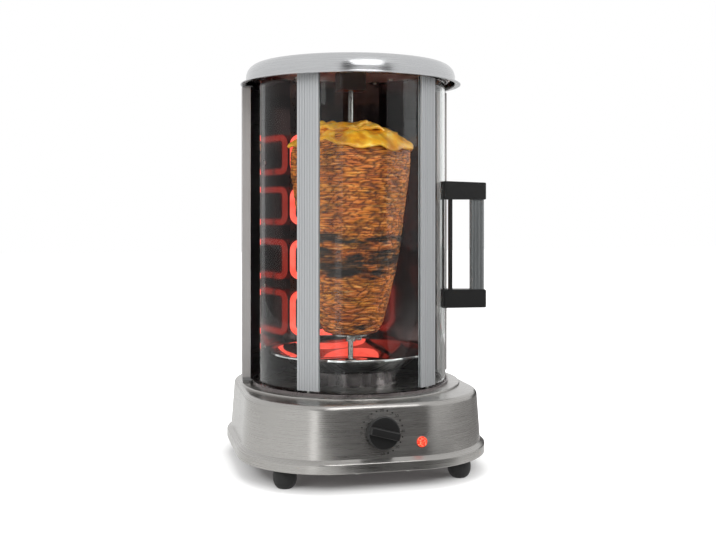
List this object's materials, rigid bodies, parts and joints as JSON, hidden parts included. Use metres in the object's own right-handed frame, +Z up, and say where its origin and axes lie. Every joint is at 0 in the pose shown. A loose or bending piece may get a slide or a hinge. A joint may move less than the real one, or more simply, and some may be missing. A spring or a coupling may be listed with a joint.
{
  "type": "electric skewer grill",
  "caption": "Upright electric rotisserie with a revolving glass door, loaded vertical spit, heated tower, drip tray and a timer in its square steel base.",
  "frame": {"origin": "where the spit axis meets the surface the four feet stand on", "axes": "+Z up along the spit; -Y out of the front with the timer; +X to the right as seen from the front"},
  "size_m": [0.3269, 0.3365, 0.507],
  "materials": {
    "base_steel": "horizontally brushed",
    "lid_steel": "brushed",
    "tower_steel": "fine brushed",
    "inner_steel": "bright rolled",
    "reflector_steel": "polished",
    "tray_steel": "mirror polished",
    "spit_steel": "satin polished",
    "zinc_steel": "zinc plated",
    "post_aluminium": "matte anodised, ribbed",
    "grip_aluminium": "dark anodised, ribbed",
    "door_glass": "clear, slightly grey",
    "black_plastic": "matte",
    "knob_plastic": "satin",
    "foot_rubber": "matte",
    "lamp_red": "clear red",
    "motor_case": "zinc plated",
    "ceramic": "matte",
    "hot_element": "oxidised steel tube, glowing",
    "bronze_bush": "sintered",
    "dark_block": "dark",
    "wire_sleeve": "glass braid",
    "roast_meat": "rough, roasted",
    "golden_fat": "glossy, golden"
  },
  "bodies": {
    "grill": {"base_housing": "base_steel", "bottom_plate": "inner_steel", "plate_screws": "zinc_steel", "foot_bolts": "zinc_steel", "timer_body": "black_plastic", "timer_nut": "zinc_steel", "lamp_body": "black_plastic", "lamp_bezel": "lamp_red", "lamp_lens": "lamp_red", "gear_motor": "motor_case", "motor_bracket": "zinc_steel", "motor_screws": "zinc_steel", "floor_screws": "zinc_steel", "shaft_seal": "foot_rubber", "terminal_block": "ceramic", "heater_wires": "wire_sleeve", "cable_gland": "black_plastic", "floor_pan": "inner_steel", "bottom_track": "inner_steel", "top_track": "inner_steel", "rear_housing": "tower_steel", "trim_left": "post_aluminium", "trim_right": "post_aluminium", "reflector": "reflector_steel", "heating_element": "hot_element", "element_clips": "zinc_steel", "element_insulators": "ceramic", "thermal_cutout": "zinc_steel", "tower_screws": "zinc_steel", "ceiling_pan": "inner_steel", "lid_spacers": "zinc_steel", "lid": "lid_steel", "bearing_block": "dark_block", "bearing_bush": "bronze_bush", "tray_stand": "inner_steel", "foot_front_left": "foot_rubber", "foot_front_right": "foot_rubber", "foot_rear_left": "foot_rubber", "foot_rear_right": "foot_rubber"},
    "door": {"door_glass_left": "door_glass", "door_glass_front": "door_glass", "door_glass_right": "door_glass", "door_post_left": "post_aluminium", "door_post_right": "post_aluminium", "door_pins": "zinc_steel", "handle_block_top": "black_plastic", "handle_block_bottom": "black_plastic", "handle_grip": "grip_aluminium", "handle_spine": "black_plastic", "handle_screws": "zinc_steel"},
    "drive": {"drive_shaft": "zinc_steel", "drive_coupling": "zinc_steel"},
    "spit": {"spit_rod": "spit_steel", "spit_disc": "spit_steel", "spit_thumb_screw": "spit_steel", "meat_cone": "roast_meat", "fat_cap": "golden_fat"},
    "timer": {"timer_knob": "knob_plastic", "timer_shaft": "zinc_steel"},
    "tray": {"drip_tray": "tray_steel"}
  },
  "joints": [
    {"name": "door_turn", "type": "hinge", "parent": "grill", "child": "door", "pos_m": [0, 0, 0.29], "axis": [0, 0, -1], "range_deg": [0, 150]},
    {"name": "drive_spin", "type": "hinge", "parent": "grill", "child": "drive", "pos_m": [0, 0, 0.1], "axis": [0, 0, 1], "continuous": true},
    {"name": "spit_lift", "type": "slide", "parent": "drive", "child": "spit", "axis": [0, 0, 1], "range_m": [0, 0.012]},
    {"name": "timer_turn", "type": "hinge", "parent": "grill", "child": "timer", "pos_m": [0, -0.16137, 0.067], "axis": [0, -0.9973, 0.0738], "range_deg": [-75, 195]},
    {"name": "tray_lift", "type": "slide", "parent": "grill", "child": "tray", "axis": [0, 0, 1], "range_m": [0, 0.004]}
  ]
}
